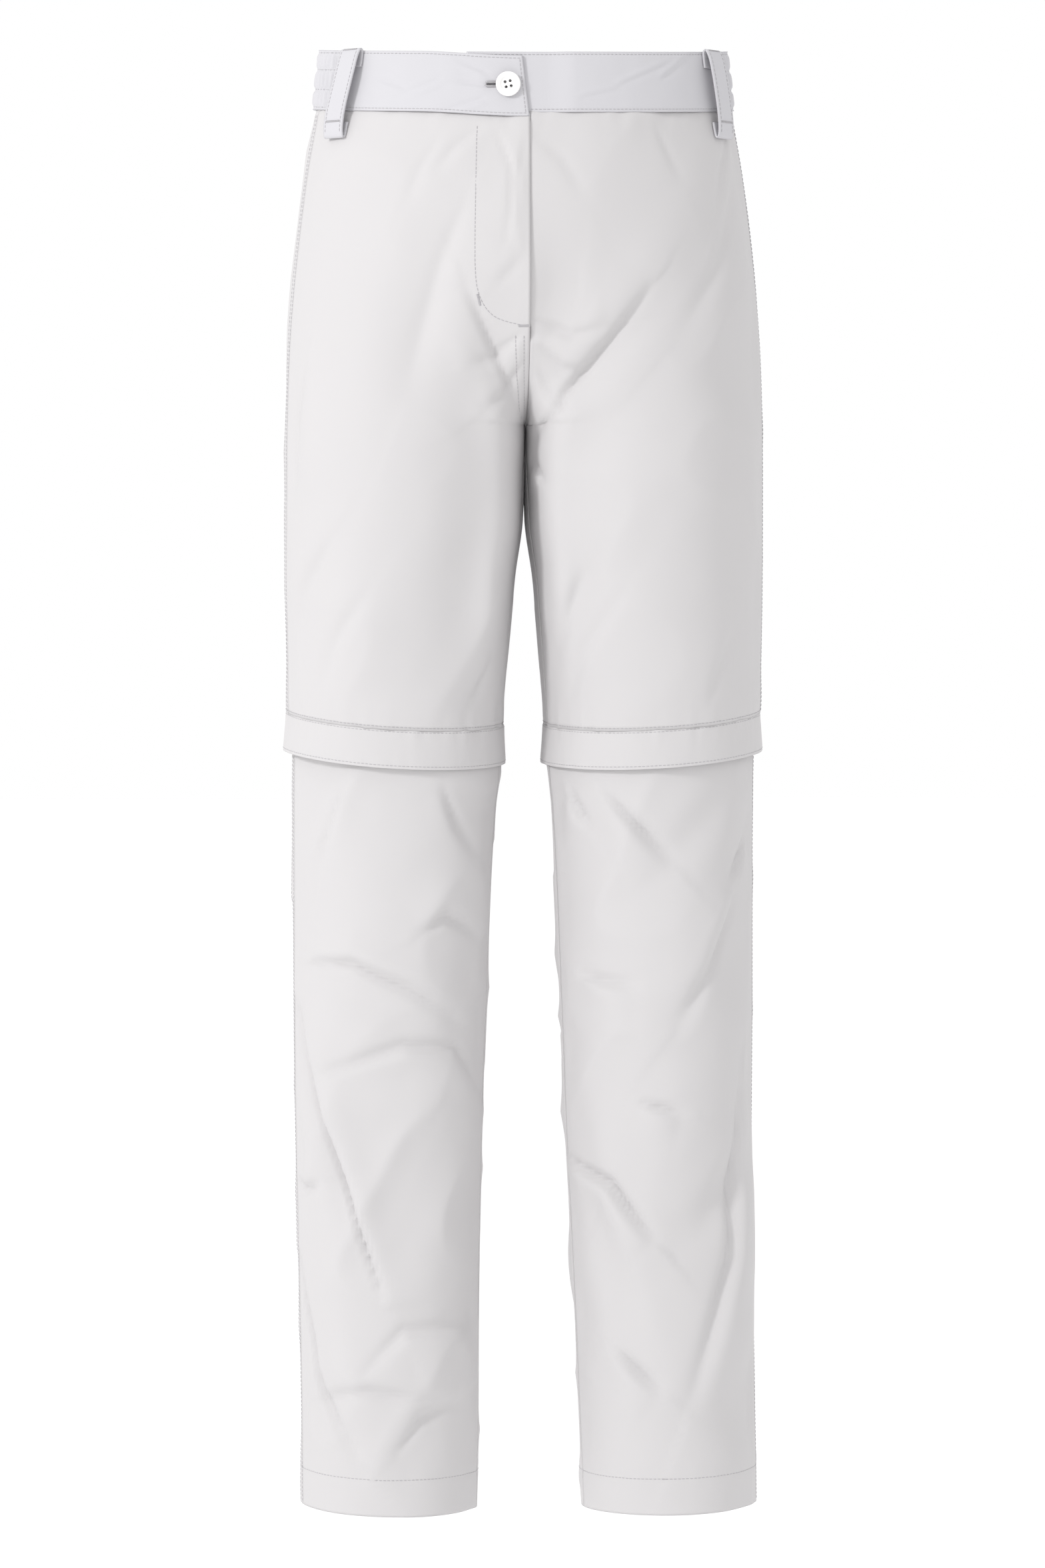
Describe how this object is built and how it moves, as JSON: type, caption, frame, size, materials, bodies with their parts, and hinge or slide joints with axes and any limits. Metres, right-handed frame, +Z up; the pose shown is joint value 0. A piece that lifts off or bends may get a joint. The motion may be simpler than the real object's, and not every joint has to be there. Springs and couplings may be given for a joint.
{
  "type": "zip-off trousers",
  "caption": "Convertible trousers in pale cloth, filled out as worn: buttoned waistband with elasticated sides and belt loops, a stitched fly, lower legs that zip off under knee flaps.",
  "frame": {"origin": "Centre of the waist opening, level with the band's top edge at the sides, where the trousers are held.", "axes": "+Z up along the legs towards the waist, front facing -Y, the wearer's left side at +X."},
  "size_m": [0.3403, 0.2463, 1.0361],
  "materials": {
    "shorts_front_right": "matt woven",
    "shorts_back_right": "matt woven",
    "leg_front_right": "matt woven",
    "leg_back_right": "matt woven",
    "shorts_front_left": "matt woven",
    "shorts_back_left": "matt woven",
    "leg_front_left": "matt woven",
    "leg_back_left": "matt woven",
    "band_front_right": "matt woven",
    "band_front_left": "matt woven",
    "band_side_right": "matt woven",
    "band_side_left": "matt woven",
    "band_back": "matt woven",
    "loop_front_right": "matt woven",
    "loop_front_left": "matt woven",
    "loop_back_right": "matt woven",
    "loop_back_left": "matt woven",
    "loop_back_centre": "matt woven",
    "knee_flap_right": "matt woven",
    "knee_flap_left": "matt woven",
    "knee_zip_right": "matt woven tape",
    "knee_zip_left": "matt woven tape",
    "knee_slider_right": "satin",
    "knee_slider_left": "satin",
    "fly_zip": "matt woven tape",
    "fly_slider": "satin",
    "button": "gloss",
    "button_thread": "matt woven"
  },
  "bodies": {
    "root": {"shorts_front_right": "shorts_front_right", "shorts_back_right": "shorts_back_right", "leg_front_right": "leg_front_right", "leg_back_right": "leg_back_right", "shorts_front_left": "shorts_front_left", "shorts_back_left": "shorts_back_left", "leg_front_left": "leg_front_left", "leg_back_left": "leg_back_left", "band_front_right": "band_front_right", "band_front_left": "band_front_left", "band_side_right": "band_side_right", "band_side_left": "band_side_left", "band_back": "band_back", "loop_front_right": "loop_front_right", "loop_front_left": "loop_front_left", "loop_back_right": "loop_back_right", "loop_back_left": "loop_back_left", "loop_back_centre": "loop_back_centre", "knee_flap_right": "knee_flap_right", "knee_flap_left": "knee_flap_left", "knee_zip_right": "knee_zip_right", "knee_zip_left": "knee_zip_left", "knee_slider_right": "knee_slider_right", "knee_slider_left": "knee_slider_left", "fly_zip": "fly_zip", "fly_slider": "fly_slider", "button": "button", "button_thread": "button_thread"}
  },
  "joints": []
}
